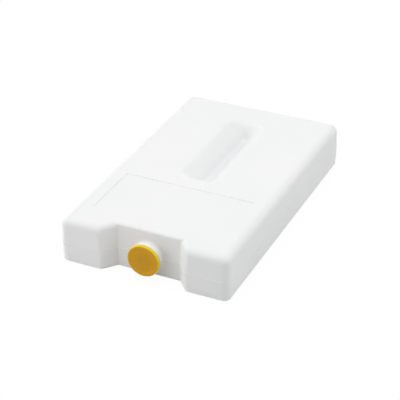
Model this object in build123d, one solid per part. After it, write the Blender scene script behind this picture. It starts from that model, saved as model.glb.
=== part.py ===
from build123d import *
import math
import os

# A hard-shell ice pack: a filled slab, blow-moulded in two mould halves and closed by a press-in cap.
# The slab lies flat. X runs across it, Y from the filler end at the front to the back, and Z is up.
# The origin is the middle of the footprint, on the surface that the slab rests on.
# Lengths are in millimetres, and drafts and slopes in degrees.

# Slab, measured over the moulding seam
slab_width = 150.0
slab_length = 250.0
slab_height = 40.0
corner_radius = 6.4
upper_draft = 2.1
lower_draft = 1.6
top_edge_radius = 6.6
base_edge_radius = 1.8

# Moulding seam, the raised line where the two mould halves met
seam_height = 17.9
seam_proud = 0.2
seam_thickness = 0.6

# Notch in the front end, which leaves a horn on each side of the filler neck
notch_width = 55.0
notch_depth = 11.4
notch_splay = 40.0
notch_draft = 5.0
notch_edge_radius = 2.5
horn_edge_radius = 5.0

# Filler neck, round about an axis along Y at the seam height
neck_radius = 12.0
neck_wall = 2.5
neck_root_radius = 2.0
neck_lip_chamfer = 0.4
bore_depth = 15.0

# Grip recess in the top: flared walls down to a narrow floor
grip_width = 34.0
grip_length = 111.6
grip_setback = 103.9
grip_depth = 13.0
grip_corner_radius = 9.0
grip_rim_radius = 7.0
grip_floor_width = 5.0
grip_end_run = 9.0
grip_floor_corner_radius = 2.4
grip_floor_radius = 4.0

# Label panel, a shallow step in the top
label_width = 117.0
label_length = 60.0
label_setback = 27.6
label_depth = 0.45

# Cap, a dished flange on a hollow plug that snaps into the neck
cap_radius = 14.0
cap_thickness = 3.0
cap_setback = 1.3
cap_edge_chamfer = 0.8
cap_rim_width = 2.8
cap_dish_depth = 0.4
cap_face_thickness = 1.6
plug_length = 9.0
plug_wall = 1.6
plug_clearance = 0.1
bead_height = 0.5
bead_width = 2.0
bead_setback = 4.5

# Largest share of half a floor's width that its corner radius may take
corner_share = 0.94

# Places that follow from the sizes above
wall_width = slab_width - 2 * seam_proud
wall_length = slab_length - 2 * seam_proud
front_wall = -wall_length / 2
notch_wall = front_wall + notch_depth
notch_mouth_width = notch_width + 2 * notch_depth * math.tan(math.radians(notch_splay))
notch_overrun = 2 * horn_edge_radius
cap_front = front_wall + cap_setback
neck_mouth = cap_front + cap_thickness
neck_root = notch_wall + notch_depth
bore_radius = neck_radius - neck_wall
plug_radius = bore_radius - plug_clearance


def notch_plan(overrun=0):
    """Plan of the notch, widening to the front and out past it, or begun farther back by an overrun."""
    run = 2 * notch_depth + top_edge_radius
    slope = math.tan(math.radians(notch_splay))
    back = notch_width / 2 - overrun * slope
    front = notch_width / 2 + run * slope
    return Polygon((-back, notch_wall + overrun), (-front, notch_wall - run),
                   (front, notch_wall - run), (back, notch_wall + overrun), align=None)


def is_notch_wall(face):
    """True for the back and the sides of the notch."""
    middle = face.center()
    upright = abs(face.normal_at(middle).Z) < 0.5
    return upright and abs(middle.X) < notch_mouth_width / 2 and middle.Y < notch_wall + 2 * notch_overrun


def notch_rim(half):
    """Edges where one wall of the notch meets the outside of the slab, off the seam plane."""
    walls = [face for face in half.faces() if is_notch_wall(face)]
    edges = [edge for edge in half.edges() if (edge @ 0.5).Z > 0.01]
    return [edge for edge in edges if sum(wall.distance_to(edge @ 0.5) < 0.001 for wall in walls) == 1]


def is_neck_root(edge):
    """True for the curved edge where the neck meets the wall of the notch."""
    points = [edge @ share for share in (0.2, 0.5, 0.8)]
    on_neck = all(abs(math.hypot(p.X, p.Z) - neck_radius) < 0.01 for p in points)
    return on_neck and points[1].Y > (neck_mouth + notch_wall) / 2 and points[1].Z > 0.01


def with_neck(half):
    """A mould half with its half of the filler neck, blended into the wall of the notch."""
    neck = Pos(0, neck_mouth, 0) * Rot(-90, 0, 0) * Cylinder(
        neck_radius, neck_root - neck_mouth, align=(Align.CENTER, Align.CENTER, Align.MIN))
    joined = half + split(neck, bisect_by=Plane.XY, keep=Keep.TOP)
    return fillet(joined.edges().filter_by(is_neck_root), neck_root_radius)


def horns(rise):
    """Rounded block between whose horns the notch runs on, behind the place of its back wall."""
    block = extrude(RectangleRounded(wall_width, wall_length, corner_radius), rise, taper=upper_draft)
    block = fillet(block.faces().sort_by(Axis.Z)[-1].edges(), top_edge_radius)
    block -= extrude(notch_plan(notch_overrun), rise, taper=-notch_draft)
    sides = [edge for edge in notch_rim(block) if abs((edge @ 0.5).X) > 0.01]
    return fillet(sides, horn_edge_radius)


def notch_back(rise):
    """Block that fills the overrun behind the leaning back wall, whose top edge is rounded."""
    lean = rise * math.tan(math.radians(notch_draft))
    end = notch_wall + 2 * notch_overrun + lean
    section = Polygon((notch_wall, 0), (notch_wall + lean, rise), (end, rise), (end, 0), align=None)
    block = extrude(Plane.YZ * section, notch_width / 2 + notch_overrun, both=True)
    top_edges = block.faces().sort_by(Axis.Z)[-1].edges()
    return fillet(top_edges.sort_by(Axis.Y)[0], notch_edge_radius)


def upper_half():
    """Moulding above the seam, with its half of the neck."""
    rise = slab_height - seam_height
    return with_neck(horns(rise) + notch_back(rise))


def lower_half():
    """Moulding below the seam, built upside down: rounded horns, then the small base edge."""
    block = extrude(RectangleRounded(wall_width, wall_length, corner_radius), seam_height, taper=lower_draft)
    block -= extrude(notch_plan(), seam_height, taper=-lower_draft)
    upright = [edge for edge in notch_rim(block) if abs((edge % 0.5).Z) > 0.9]
    block = fillet(upright, horn_edge_radius)
    block = fillet(block.faces().sort_by(Axis.Z)[-1].edges(), base_edge_radius)
    return mirror(with_neck(block), Plane.XY)


def seam():
    """Raised line all round the moulding, which stops at the mouth of the neck."""
    plan = RectangleRounded(wall_width, wall_length, corner_radius) - notch_plan()
    on_front = [vertex for vertex in plan.vertices() if abs(vertex.Y - front_wall) < 0.01]
    horn_corners = sorted(on_front, key=lambda vertex: abs(vertex.X))[:2]
    plan = offset(fillet(horn_corners, horn_edge_radius), seam_proud)
    neck = Rectangle(2 * (neck_radius + seam_proud), neck_root - neck_mouth, align=(Align.CENTER, Align.MIN))
    plan += Pos(0, neck_mouth) * neck
    roots = [vertex for vertex in plan.vertices() if is_root_corner(vertex)]
    plan = fillet(roots, neck_root_radius - seam_proud)
    return extrude(plan, amount=seam_thickness / 2, both=True)


def is_root_corner(vertex):
    """True for the two corners of the plan where the neck leaves the wall of the notch."""
    beside_neck = abs(abs(vertex.X) - neck_radius - seam_proud) < 0.01
    return beside_neck and abs(vertex.Y - notch_wall + seam_proud) < 0.01


def turned(points):
    """Solid turned about the axis of the neck from a profile of (radius, y) points."""
    return revolve(make_face(Polyline(*points, close=True)), axis=Axis.Y)


def bead_profile(radius, growth):
    """Points of a snap bead on a stem of a radius, or of the groove that is wider by a growth."""
    start = neck_mouth + bead_setback - growth
    end = neck_mouth + bead_setback + bead_width + growth
    slope = bead_width / 3
    return [(radius, start), (radius + bead_height, start + slope),
            (radius + bead_height, end - slope), (radius, end)]


def bore():
    """Space inside the neck: a blind bore, its lead-in and the groove for the bead of the cap."""
    end = neck_mouth + bore_depth
    lead = neck_lip_chamfer
    lip = [(0, neck_mouth), (bore_radius + lead, neck_mouth), (bore_radius, neck_mouth + lead)]
    return turned(lip + bead_profile(bore_radius, plug_clearance) + [(bore_radius, end), (0, end)])


def label_panel():
    """Space of the label panel, open to the top."""
    panel = Box(label_width, label_length, 2 * label_depth, align=(Align.CENTER, Align.MIN, Align.CENTER))
    return Pos(0, front_wall + label_setback, slab_height) * panel


def grip_recess():
    """Space of the grip recess, with the edge of its floor rounded as far as its corners allow."""
    corner_radius_of_floor = min(grip_floor_corner_radius, corner_share * grip_floor_width / 2)
    end_slope = math.atan2(grip_depth, grip_end_run)
    floor_edge_radius = min(grip_floor_radius, corner_radius_of_floor / math.tan(end_slope / 2))
    rim = RectangleRounded(grip_width, grip_length, grip_corner_radius)
    floor = RectangleRounded(grip_floor_width, grip_length - 2 * grip_end_run, corner_radius_of_floor)
    space = loft([rim, Pos(0, 0, -grip_depth) * floor], ruled=True)
    space = fillet(space.faces().sort_by(Axis.Z)[0].edges(), floor_edge_radius)
    return Pos(0, front_wall + grip_setback + grip_length / 2, slab_height) * space


def is_grip_rim(edge):
    """True for the edges where the grip recess opens through the top."""
    middle = edge @ 0.5
    start = front_wall + grip_setback
    along = start - 0.01 < middle.Y < start + grip_length + 0.01
    return along and abs(middle.X) < grip_width / 2 + 0.01 and abs(middle.Z - slab_height) < 0.001


def moulded_body():
    """The filled slab with its neck, as one sealed solid."""
    body = Pos(0, 0, seam_height) * (upper_half() + seam() + lower_half() - bore())
    body -= grip_recess()
    body = fillet(body.edges().filter_by(is_grip_rim), grip_rim_radius)
    return body - label_panel()


def sealing_cap():
    """The press-in cap: a dished round flange, and behind it a cored plug with a snap bead."""
    dish_radius = cap_radius - cap_rim_width
    dish = cap_front + cap_dish_depth
    plug_end = neck_mouth + plug_length
    lead = plug_wall / 2
    core_radius = plug_radius - plug_wall
    flange = [(0, dish), (dish_radius - cap_dish_depth, dish), (dish_radius, cap_front),
              (cap_radius, cap_front), (cap_radius, neck_mouth), (plug_radius, neck_mouth)]
    plug = [(plug_radius, plug_end - lead), (plug_radius - lead, plug_end), (core_radius, plug_end),
            (core_radius, dish + cap_face_thickness), (0, dish + cap_face_thickness)]
    cap = turned(flange + bead_profile(plug_radius, 0) + plug)
    circles = cap.edges().filter_by(GeomType.CIRCLE).filter_by(lambda edge: abs(edge.radius - cap_radius) < 0.01)
    cap = chamfer(circles.sort_by(Axis.Y)[0], cap_edge_chamfer)
    return Pos(0, 0, seam_height) * cap


parts = {"moulded_body": moulded_body(), "sealing_cap": sealing_cap()}
os.makedirs("parts", exist_ok=True)
for name, shape in parts.items():
    export_step(shape, f"parts/{name}.step")
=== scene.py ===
"""Dresses the packed ice pack for its picture: plastics, floor, studio light and camera.

Lengths are in metres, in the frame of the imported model. X runs across the slab, Y from the filler
end at the front to the back, and Z is up. The slab rests on the plane Z = 0.
"""

from __future__ import annotations

import logging
import math
from dataclasses import dataclass, field
from enum import Enum
from typing import Any

import bmesh
import bpy
from mathutils import Matrix, Vector


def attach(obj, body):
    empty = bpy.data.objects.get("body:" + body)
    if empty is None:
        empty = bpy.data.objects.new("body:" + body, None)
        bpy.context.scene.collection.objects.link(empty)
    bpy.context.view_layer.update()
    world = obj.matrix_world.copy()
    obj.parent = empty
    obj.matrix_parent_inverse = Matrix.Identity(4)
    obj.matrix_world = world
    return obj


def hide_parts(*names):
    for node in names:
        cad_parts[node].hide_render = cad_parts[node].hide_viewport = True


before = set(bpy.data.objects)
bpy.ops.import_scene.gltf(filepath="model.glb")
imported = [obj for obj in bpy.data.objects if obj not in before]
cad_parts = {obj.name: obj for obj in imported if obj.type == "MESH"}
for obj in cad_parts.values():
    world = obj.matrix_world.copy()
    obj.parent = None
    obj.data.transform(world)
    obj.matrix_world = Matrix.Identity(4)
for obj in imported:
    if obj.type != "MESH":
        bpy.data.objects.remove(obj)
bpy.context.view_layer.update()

LOG = logging.getLogger("ice_pack")
MILLIMETRE = 0.001
SEAM_HEIGHT = 17.9  # millimetres, also the height of the axis of the neck
MERGE_DISTANCE = 1e-7
RING_TOLERANCE = 0.001
NOISE_MEAN = 0.5
OCTAVE_GAIN = 0.5

Colour = tuple[float, float, float]
WHITE: Colour = (1.0, 1.0, 1.0)


class Part(Enum):
    """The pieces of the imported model."""

    HOUSING = "moulded_body"
    CAP = "sealing_cap"


def rgba(colour: Colour) -> tuple[float, float, float, float]:
    """A colour with full opacity."""
    return (*colour, 1.0)


class Signal:
    """A number that flows between shader nodes, written in expressions like a plain number."""

    def __init__(self, graph: Graph, socket: bpy.types.NodeSocket) -> None:
        """Wraps an output socket.

        Args:
            graph: The graph that new Math nodes go into.
            socket: The output socket that carries the number.
        """
        self.graph = graph
        self.socket = socket

    def __add__(self, other: Signal | float) -> Signal:
        """The sum of two numbers."""
        return self.graph.math("ADD", self, other)

    def __radd__(self, other: float) -> Signal:
        """The sum, with the plain number first."""
        return self.graph.math("ADD", other, self)

    def __sub__(self, other: Signal | float) -> Signal:
        """The difference of two numbers."""
        return self.graph.math("SUBTRACT", self, other)

    def __rsub__(self, other: float) -> Signal:
        """The difference, with the plain number first."""
        return self.graph.math("SUBTRACT", other, self)

    def __mul__(self, other: Signal | float) -> Signal:
        """The product of two numbers."""
        return self.graph.math("MULTIPLY", self, other)

    def __rmul__(self, other: float) -> Signal:
        """The product, with the plain number first."""
        return self.graph.math("MULTIPLY", other, self)

    def __abs__(self) -> Signal:
        """The number without its sign."""
        return self.graph.math("ABSOLUTE", self)

    def root(self) -> Signal:
        """The square root of the number."""
        return self.graph.math("SQRT", self)


class Graph:
    """A material's node tree, and the few ways in which nodes are added to it."""

    def __init__(self, tree: bpy.types.NodeTree) -> None:
        """Empties the tree.

        Args:
            tree: The node tree of a new material or world.
        """
        tree.nodes.clear()
        self.tree = tree

    def feed(self, socket: bpy.types.NodeSocket, value: Any) -> None:
        """Links a socket, or sets its value.

        Args:
            socket: The input socket.
            value: A Signal, an output socket, or a plain value.
        """
        source = value.socket if isinstance(value, Signal) else value
        if isinstance(source, bpy.types.NodeSocket):
            self.tree.links.new(source, socket)
        else:
            socket.default_value = source

    def node(self, kind: str, settings: dict[str, Any], inputs: dict[Any, Any]) -> bpy.types.Node:
        """Adds any node.

        Args:
            kind: The node's type name.
            settings: Its own settings, which are set first.
            inputs: Values or links by the input's name or number.

        Returns:
            The new node.
        """
        made = self.tree.nodes.new(kind)
        for name, value in settings.items():
            setattr(made, name, value)
        for name, value in inputs.items():
            self.feed(made.inputs[name], value)
        return made

    def math(self, operation: str, first: Any, second: Any = 0.0) -> Signal:
        """Adds a Math node.

        Args:
            operation: The operation's name.
            first: The first number.
            second: The second number, where the operation takes one.

        Returns:
            The result.
        """
        made = self.node("ShaderNodeMath", {"operation": operation}, {0: first, 1: second})
        return Signal(self, made.outputs[0])

    def smooth(self, value: Signal, low: float, high: float) -> Signal:
        """Eases a number from 0 to 1 as it goes from one level to another.

        Args:
            value: The number.
            low: The level at which the result is 0.
            high: The level at which the result is 1.

        Returns:
            The eased number.
        """
        inputs = {"Value": value, "From Min": low, "From Max": high}
        made = self.node("ShaderNodeMapRange", {"interpolation_type": "SMOOTHSTEP"}, inputs)
        return Signal(self, made.outputs["Result"])

    def noise(self, place: bpy.types.NodeSocket, feature: float, detail: float = 2.0) -> Signal:
        """Adds smooth noise between about -0.5 and 0.5.

        Args:
            place: The coordinates in metres.
            feature: The size of its largest features, in metres.
            detail: How many finer octaves it holds.

        Returns:
            The noise.
        """
        inputs = {"Vector": place, "Scale": 1.0 / feature, "Detail": detail, "Roughness": OCTAVE_GAIN}
        made = self.node("ShaderNodeTexNoise", {"noise_dimensions": "3D"}, inputs)
        return Signal(self, made.outputs["Fac"]) - NOISE_MEAN

    def blend(self, factor: Signal, first: Any, second: Any) -> bpy.types.NodeSocket:
        """Mixes two colours.

        Args:
            factor: 0 for the first colour and 1 for the second.
            first: A colour or a colour socket.
            second: A colour or a colour socket.

        Returns:
            The mixed colour.
        """
        made = self.tree.nodes.new("ShaderNodeMix")
        made.data_type = "RGBA"
        colours = [socket for socket in made.inputs if socket.type == "RGBA"]
        self.feed(made.inputs[0], factor)
        self.feed(colours[0], first)
        self.feed(colours[1], second)
        return next(socket for socket in made.outputs if socket.type == "RGBA")

    def axes(self) -> tuple[bpy.types.NodeSocket, Signal, Signal, Signal]:
        """Gives the place on the piece, in metres.

        Returns:
            The coordinates as a vector, and its X, Y and Z.
        """
        place = self.node("ShaderNodeTexCoord", {}, {}).outputs["Object"]
        parts = self.node("ShaderNodeSeparateXYZ", {}, {"Vector": place})
        return place, *(Signal(self, parts.outputs[axis]) for axis in "XYZ")

    def relief(self, height: Signal) -> bpy.types.NodeSocket:
        """Turns a height in metres into a bumped normal."""
        made = self.node("ShaderNodeBump", {}, {"Strength": 1.0, "Distance": 1.0, "Height": height})
        return made.outputs["Normal"]

    def plastic(self, inputs: dict[str, Any]) -> None:
        """Ends the graph in a Principled shader with these inputs."""
        shader = self.node("ShaderNodeBsdfPrincipled", {}, inputs)
        self.node("ShaderNodeOutputMaterial", {}, {"Surface": shader.outputs[0]})


def new_material(name: str) -> tuple[bpy.types.Material, Graph]:
    """Makes a material with an empty graph.

    Args:
        name: The material's name.

    Returns:
        The material and its graph.
    """
    material = bpy.data.materials.new(name)
    material.use_nodes = True
    return material, Graph(material.node_tree)


@dataclass(frozen=True)
class BlownShellFinish:
    """Satin white plastic from a blow mould: fine grain, slight orange peel and uneven cooling, with
    painted shade low in the grip recess and a painted highlight along the notch seam.
    """

    white: Colour = (0.872, 0.874, 0.872)
    # painted highlight: a lighter white along the seam on the back wall of the notch
    cool_white: Colour = (0.856, 0.862, 0.864)
    seam_highlight_white: Colour = (0.90, 0.90, 0.895)
    # painted shade: a darker white for the low part of the grip recess
    recess_shade_white: Colour = (0.822, 0.832, 0.838)
    roughness: float = 0.60
    roughness_spread: float = 0.10
    seam_polish: float = 0.06
    specular: float = 0.28
    translucence: float = 0.12
    scatter_reach: Colour = (1.0, 1.0, 1.0)
    scatter_depth: float = 2.5 * MILLIMETRE
    cloud_size: float = 60 * MILLIMETRE
    cloud_swing: float = 0.2
    swell_size: float = 45 * MILLIMETRE
    swell_height: float = 0.10 * MILLIMETRE
    peel_size: float = 5.0 * MILLIMETRE
    peel_height: float = 0.012 * MILLIMETRE
    grain_size: float = 0.7 * MILLIMETRE
    grain_height: float = 0.006 * MILLIMETRE
    seam_height: float = SEAM_HEIGHT * MILLIMETRE
    seam_core: float = 0.27 * MILLIMETRE
    seam_half: float = 0.45 * MILLIMETRE
    seam_highlight_share: float = 0.6
    mask_fade: float = 1.0 * MILLIMETRE
    notch_half_width: float = 29.5 * MILLIMETRE
    notch_front: float = -118.0 * MILLIMETRE
    recess_base: float = 25.0 * MILLIMETRE
    recess_low: float = 27.0 * MILLIMETRE
    recess_unshaded: float = 34.0 * MILLIMETRE
    recess_half_width: float = 12.0 * MILLIMETRE
    recess_front: float = -22.0 * MILLIMETRE

    def material(self) -> bpy.types.Material:
        """Builds the material.

        Returns:
            The finished material.
        """
        material, graph = new_material("blown_shell")
        place, x, y, z = graph.axes()
        clouds = graph.noise(place, self.cloud_size)
        cooled = graph.smooth(clouds, -self.cloud_swing, self.cloud_swing)
        seam = self.seam_gloss_and_highlight(graph, x, y, z)
        tint = graph.blend(cooled, rgba(self.white), rgba(self.cool_white))
        # painted shade: the low part of the grip recess gets the darker white
        recess_shaded = graph.blend(self.recess_painted_shade(graph, x, y, z), tint, rgba(self.recess_shade_white))
        # painted highlight: the seam line gets the lighter white, and its mask also lowers the roughness
        colour = graph.blend(seam * self.seam_highlight_share, recess_shaded, rgba(self.seam_highlight_white))
        peel = graph.noise(place, self.peel_size)
        height = (graph.noise(place, self.swell_size, 0.0) * self.swell_height
                  + peel * self.peel_height
                  + graph.noise(place, self.grain_size, 1.0) * self.grain_height)
        graph.plastic({
            "Base Color": colour,
            "Roughness": self.roughness + (clouds + peel) * self.roughness_spread - seam * self.seam_polish,
            "Specular IOR Level": self.specular,
            "Subsurface Weight": self.translucence,
            "Subsurface Radius": self.scatter_reach,
            "Subsurface Scale": self.scatter_depth,
            "Normal": graph.relief(height),
        })
        return material

    def seam_gloss_and_highlight(self, graph: Graph, x: Signal, y: Signal, z: Signal) -> Signal:
        """Marks the moulding seam on the back wall of the notch: glossier, and a little lighter by a
        painted highlight.

        Args:
            graph: The material's graph.
            x: The place across the slab.
            y: The place along the slab.
            z: The height.

        Returns:
            The mask, from 0 off the seam to 1 on it.
        """
        line = 1 - graph.smooth(abs(z - self.seam_height), self.seam_core, self.seam_half)
        between = 1 - graph.smooth(abs(x), self.notch_half_width, self.notch_half_width + self.mask_fade)
        return line * between * graph.smooth(y, self.notch_front, self.notch_front + self.mask_fade)

    def recess_painted_shade(self, graph: Graph, x: Signal, y: Signal, z: Signal) -> Signal:
        """Marks the low part of the grip recess, where painted shade makes the white a shade darker than
        the rest.

        Args:
            graph: The material's graph.
            x: The place across the slab.
            y: The place along the slab.
            z: The height.

        Returns:
            The mask, from 0 on the top of the slab to 1 on the floor of the recess.
        """
        low = 1 - graph.smooth(z, self.recess_low, self.recess_unshaded)
        above_base = graph.smooth(z, self.recess_base, self.recess_base + self.mask_fade)
        middle = 1 - graph.smooth(abs(x), self.recess_half_width, self.recess_half_width + self.mask_fade)
        behind = graph.smooth(y, self.recess_front, self.recess_front + self.mask_fade)
        return low * above_base * middle * behind


@dataclass(frozen=True)
class CapFinish:
    """Yellow-orange moulded plastic, deepest in the dish, and lightest on the side of the flange by a
    painted highlight.
    """

    dish: Colour = (0.605, 0.312, 0.009)
    rim: Colour = (0.70, 0.350, 0.014)
    # painted highlight: the lighter yellow of the flange's side and rounded edge
    side: Colour = (0.82, 0.62, 0.035)
    roughness: float = 0.36
    roughness_spread: float = 0.12
    specular: float = 0.16
    translucence: float = 0.10
    scatter_reach: Colour = (1.0, 0.5, 0.1)
    scatter_depth: float = 1.2 * MILLIMETRE
    axis_height: float = SEAM_HEIGHT * MILLIMETRE
    dish_radius: float = 3.0 * MILLIMETRE
    rim_radius: float = 12.5 * MILLIMETRE
    highlight_start: float = 13.0 * MILLIMETRE
    highlight_full: float = 13.7 * MILLIMETRE
    flow_size: float = 4.0 * MILLIMETRE
    flow_height: float = 0.02 * MILLIMETRE
    grain_size: float = 0.5 * MILLIMETRE
    grain_height: float = 0.004 * MILLIMETRE

    def material(self) -> bpy.types.Material:
        """Builds the material.

        Returns:
            The finished material.
        """
        material, graph = new_material("cap_plastic")
        place, x, _, z = graph.axes()
        flow = graph.noise(place, self.flow_size)
        rise = z - self.axis_height
        reach = (x * x + rise * rise).root()
        rim = graph.smooth(reach, self.dish_radius, self.rim_radius)
        # painted highlight: the flange's side and rounded edge get the lighter yellow
        side = graph.smooth(reach, self.highlight_start, self.highlight_full)
        face = graph.blend(rim, rgba(self.dish), rgba(self.rim))
        height = flow * self.flow_height + graph.noise(place, self.grain_size, 1.0) * self.grain_height
        graph.plastic({
            "Base Color": graph.blend(side, face, rgba(self.side)),
            "Roughness": self.roughness + flow * self.roughness_spread,
            "Specular IOR Level": self.specular,
            "Subsurface Weight": self.translucence,
            "Subsurface Radius": self.scatter_reach,
            "Subsurface Scale": self.scatter_depth,
            "Normal": graph.relief(height),
        })
        return material


@dataclass
class MouldedHousing:
    """The filled slab with its neck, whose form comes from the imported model."""

    finish: BlownShellFinish = field(default_factory=BlownShellFinish)

    def dress(self) -> None:
        """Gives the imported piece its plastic."""
        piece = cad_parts[Part.HOUSING.value]
        material = self.finish.material()
        for place in piece.material_slots:
            place.material = material
        LOG.info("%s wears %s", piece.name, material.name)


@dataclass(frozen=True)
class Ring:
    """A turned corner of the cap, given by its profile point and by how far it is rounded."""

    radius: float
    depth: float
    rounding: float = 0.0


@dataclass
class SealingCap:
    """The press-in cap: a dished flange in front of the neck and a cored plug with a snap bead inside it.

    Its sizes are in millimetres, and its mesh is in metres like the rest.
    """

    finish: CapFinish = field(default_factory=CapFinish)
    slot: str = "cap"
    front: float = -123.5
    axis_height: float = SEAM_HEIGHT
    radius: float = 14.0
    thickness: float = 3.0
    edge_rounding: float = 0.75
    back_rounding: float = 0.25
    dish_radius: float = 11.2
    dish_depth: float = 0.4
    dish_rounding: float = 0.2
    face_thickness: float = 1.6
    plug_radius: float = 9.4
    plug_length: float = 9.0
    plug_wall: float = 1.6
    bead_height: float = 0.5
    bead_setback: float = 4.5
    bead_width: float = 2.0
    bead_rounding: float = 0.2
    turn_steps: int = 144
    round_steps: int = 4

    def profile(self) -> list[Ring]:
        """Lists the corners of half a section through the cap, in millimetres.

        Returns:
            The corners, from the middle of the face round the flange and the plug to the core.
        """
        bead = self.thickness + self.bead_setback
        slope = self.bead_width / 3
        end = self.thickness + self.plug_length
        lead = self.plug_wall / 2
        core = self.plug_radius - self.plug_wall
        return [
            Ring(0.0, self.dish_depth),
            Ring(self.dish_radius - self.dish_depth, self.dish_depth, self.dish_rounding),
            Ring(self.dish_radius, 0.0, self.dish_rounding),
            Ring(self.radius, 0.0, self.edge_rounding),
            Ring(self.radius, self.thickness, self.back_rounding),
            Ring(self.plug_radius, self.thickness),
            Ring(self.plug_radius, bead),
            Ring(self.plug_radius + self.bead_height, bead + slope, self.bead_rounding),
            Ring(self.plug_radius + self.bead_height, bead + self.bead_width - slope, self.bead_rounding),
            Ring(self.plug_radius, bead + self.bead_width),
            Ring(self.plug_radius, end - lead, self.bead_rounding),
            Ring(self.plug_radius - lead, end, self.bead_rounding),
            Ring(core, end),
            Ring(core, self.dish_depth + self.face_thickness),
            Ring(0.0, self.dish_depth + self.face_thickness),
        ]

    def mesh(self) -> bpy.types.Mesh:
        """Turns the section about the axis of the neck and rounds its corners.

        Returns:
            The cap's mesh, in place.
        """
        shape = bmesh.new()
        rings = self.profile()
        place = Vector((0.0, self.front, self.axis_height)) * MILLIMETRE
        points = [place + Vector((ring.radius, ring.depth, 0.0)) * MILLIMETRE for ring in rings]
        corners = [shape.verts.new(point) for point in points]
        edges = [shape.edges.new(pair) for pair in zip(corners, corners[1:])]
        bmesh.ops.spin(shape, geom=corners + edges, cent=place, axis=(0.0, 1.0, 0.0),
                       angle=2 * math.pi, steps=self.turn_steps, use_merge=True)
        bmesh.ops.remove_doubles(shape, verts=shape.verts[:], dist=MERGE_DISTANCE)
        for ring in rings:
            if ring.rounding:
                self.round_ring(shape, ring)
        bmesh.ops.recalc_face_normals(shape, faces=shape.faces[:])
        for face in shape.faces:
            face.smooth = True
        mesh = bpy.data.meshes.new("press_in_cap")
        shape.to_mesh(mesh)
        shape.free()
        return mesh

    def round_ring(self, shape: bmesh.types.BMesh, ring: Ring) -> None:
        """Rounds one turned corner.

        Args:
            shape: The turned mesh.
            ring: The corner.
        """
        def on_ring(vertex: bmesh.types.BMVert) -> bool:
            """True for a vertex of the corner's circle."""
            x, y, z = vertex.co / MILLIMETRE
            radius = math.hypot(x, z - self.axis_height)
            return math.hypot(radius - ring.radius, y - self.front - ring.depth) < RING_TOLERANCE

        circle = [edge for edge in shape.edges if all(on_ring(vertex) for vertex in edge.verts)]
        bmesh.ops.bevel(shape, geom=circle, offset=ring.rounding * MILLIMETRE, offset_type="OFFSET",
                        affect="EDGES", segments=self.round_steps, profile=0.5, material=-1,
                        clamp_overlap=True)

    def build(self) -> None:
        """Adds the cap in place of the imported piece."""
        cap = bpy.data.objects.new("press_in_cap", self.mesh())
        cap.data.materials.append(self.finish.material())
        bpy.context.scene.collection.objects.link(cap)
        level = cap.modifiers.new("even_normals", "WEIGHTED_NORMAL")
        level.keep_sharp = True
        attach(cap, "root")
        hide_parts(Part.CAP.value)
        LOG.info("press-in cap of radius %.1f mm with %d faces", self.radius, len(cap.data.polygons))


def seen_directly(graph: Graph, in_gloss: float) -> Signal:
    """Gives 1 to rays from the camera, and a set share to those that a glossy surface sends on.

    Args:
        graph: The graph that asks.
        in_gloss: The share that reflections see.

    Returns:
        The mask.
    """
    path = graph.node("ShaderNodeLightPath", {}, {})
    camera, gloss = (Signal(graph, path.outputs[name]) for name in ("Is Camera Ray", "Is Glossy Ray"))
    return graph.math("MAXIMUM", camera, gloss * in_gloss)


@dataclass
class Floor:
    """A round pale floor that looks white to the camera and still takes the object's shadow."""

    radius: float = 6.0
    segments: int = 96
    colour: Colour = (0.78, 0.78, 0.78)
    camera_white: float = 0.92
    glow: float = 1.02
    in_gloss: float = 1.0

    def mesh(self) -> bpy.types.Mesh:
        """Builds the disc.

        Returns:
            The floor's mesh.
        """
        shape = bmesh.new()
        bmesh.ops.create_circle(shape, cap_ends=True, segments=self.segments, radius=self.radius)
        mesh = bpy.data.meshes.new("floor")
        shape.to_mesh(mesh)
        shape.free()
        return mesh

    def material(self) -> bpy.types.Material:
        """Builds the floor's paint.

        Returns:
            A matt paint, part of which shines white to the camera and in reflections.
        """
        material, graph = new_material("floor_paint")
        paint = graph.node("ShaderNodeBsdfDiffuse", {}, {"Color": rgba(self.colour)})
        white = graph.node("ShaderNodeEmission", {}, {"Color": rgba(WHITE), "Strength": self.glow})
        seen = seen_directly(graph, self.in_gloss) * self.camera_white
        mixed = graph.node("ShaderNodeMixShader", {}, {0: seen, 1: paint.outputs[0], 2: white.outputs[0]})
        graph.node("ShaderNodeOutputMaterial", {}, {"Surface": mixed.outputs[0]})
        return material

    def build(self) -> None:
        """Adds the floor to the scene as part of the stage."""
        floor = bpy.data.objects.new("floor", self.mesh())
        floor.data.materials.append(self.material())
        bpy.context.scene.collection.objects.link(floor)
        LOG.info("floor of radius %.1f m", self.radius)


@dataclass
class Surroundings:
    """The pale room round the object: as pale as the far floor to look at, and softer as light."""

    strength: float = 0.19
    to_camera: float = 0.95
    in_gloss: float = 0.53

    def build(self) -> None:
        """Sets the scene's world."""
        world = bpy.data.worlds.new("studio")
        world.use_nodes = True
        graph = Graph(world.node_tree)
        seen = seen_directly(graph, self.in_gloss)
        level = seen * (self.to_camera - self.strength) + self.strength
        light = graph.node("ShaderNodeBackground", {}, {"Color": rgba(WHITE), "Strength": level})
        graph.node("ShaderNodeOutputWorld", {}, {"Surface": light.outputs[0]})
        bpy.context.scene.world = world
        LOG.info("surroundings at strength %.2f", self.strength)


def direction(azimuth: float, elevation: float) -> Vector:
    """Gives the direction of a place seen from the object.

    Args:
        azimuth: Degrees to the right of the view from the filler end.
        elevation: Degrees above the floor.

    Returns:
        A unit vector.
    """
    turn, rise = math.radians(azimuth), math.radians(elevation)
    flat = math.cos(rise)
    return Vector((math.sin(turn) * flat, -math.cos(turn) * flat, math.sin(rise)))


def facing(place: Vector, target: Vector) -> Matrix:
    """Gives the placement of a lamp or camera that looks at a target.

    Args:
        place: Where it stands.
        target: What it looks at.

    Returns:
        Its matrix.
    """
    turn = (target - place).to_track_quat("-Z", "Y").to_matrix().to_4x4()
    return Matrix.Translation(place) @ turn


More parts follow.
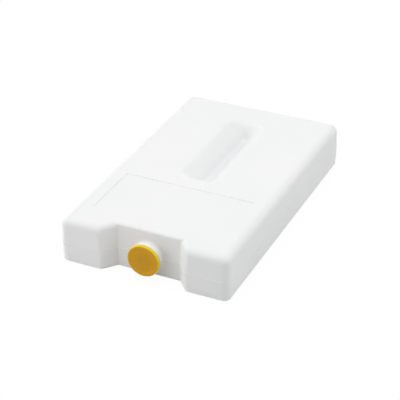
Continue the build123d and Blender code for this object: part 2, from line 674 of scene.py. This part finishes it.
@dataclass(frozen=True)
class Softbox:
    """A rectangular lamp that faces the object."""

    name: str
    azimuth: float
    elevation: float
    width: float
    height: float
    level: float
    distance: float = 1.5

    def build(self, target: Vector) -> None:
        """Adds the lamp.

        Args:
            target: The point that it faces. A white surface there that faces the lamp takes on its level.
        """
        light = bpy.data.lights.new(self.name, "AREA")
        light.shape = "RECTANGLE"
        light.size = self.width
        light.size_y = self.height
        light.energy = self.level * (math.pi * self.distance) ** 2
        lamp = bpy.data.objects.new(self.name, light)
        place = target + direction(self.azimuth, self.elevation) * self.distance
        lamp.matrix_world = facing(place, target)
        bpy.context.scene.collection.objects.link(lamp)
        LOG.info("softbox %s at %.1f W", self.name, light.energy)


SOFTBOXES = (
    Softbox("overhead", azimuth=0, elevation=90, width=1.5, height=1.5, level=0.745),
    Softbox("front_left", azimuth=-45, elevation=30, width=1.0, height=1.0, level=0.17),
    Softbox("front_left_low", azimuth=-45, elevation=12, width=1.2, height=0.6, level=0.12),
    Softbox("left", azimuth=-90, elevation=14, width=1.5, height=0.7, level=0.23),
    Softbox("right_high", azimuth=90, elevation=45, width=1.2, height=1.2, level=0.12),
    Softbox("right_low", azimuth=90, elevation=14, width=1.5, height=0.7, level=0.17),
    Softbox("back", azimuth=180, elevation=14, width=1.5, height=0.7, level=0.20),
)


@dataclass(frozen=True)
class ViewCamera:
    """The camera of the picture."""

    target: tuple[float, float, float] = (0.0, 0.0, 0.020)
    azimuth: float = 24.645
    elevation: float = 30.235
    distance: float = 1.1568
    lens: float = 120.54
    shift_x: float = -0.01927
    shift_y: float = -0.03012

    def build(self) -> None:
        """Adds the camera and makes it the scene's own."""
        camera = bpy.data.cameras.new("camera")
        camera.lens = self.lens
        camera.shift_x = self.shift_x
        camera.shift_y = self.shift_y
        holder = bpy.data.objects.new("camera", camera)
        target = Vector(self.target)
        place = target + direction(self.azimuth, self.elevation) * self.distance
        holder.matrix_world = facing(place, target)
        bpy.context.scene.collection.objects.link(holder)
        bpy.context.scene.camera = holder
        LOG.info("camera %.3f m from the slab", self.distance)


def main() -> None:
    """Dresses the pieces and builds the stage, the light and the camera."""
    logging.basicConfig(level=logging.INFO, format="%(name)s: %(message)s")
    bpy.context.scene.view_settings.view_transform = "Standard"
    MouldedHousing().dress()
    SealingCap().build()
    Floor().build()
    Surroundings().build()
    middle = Vector(ViewCamera.target)
    for softbox in SOFTBOXES:
        softbox.build(middle)
    ViewCamera().build()


if __name__ == "__main__":
    main()
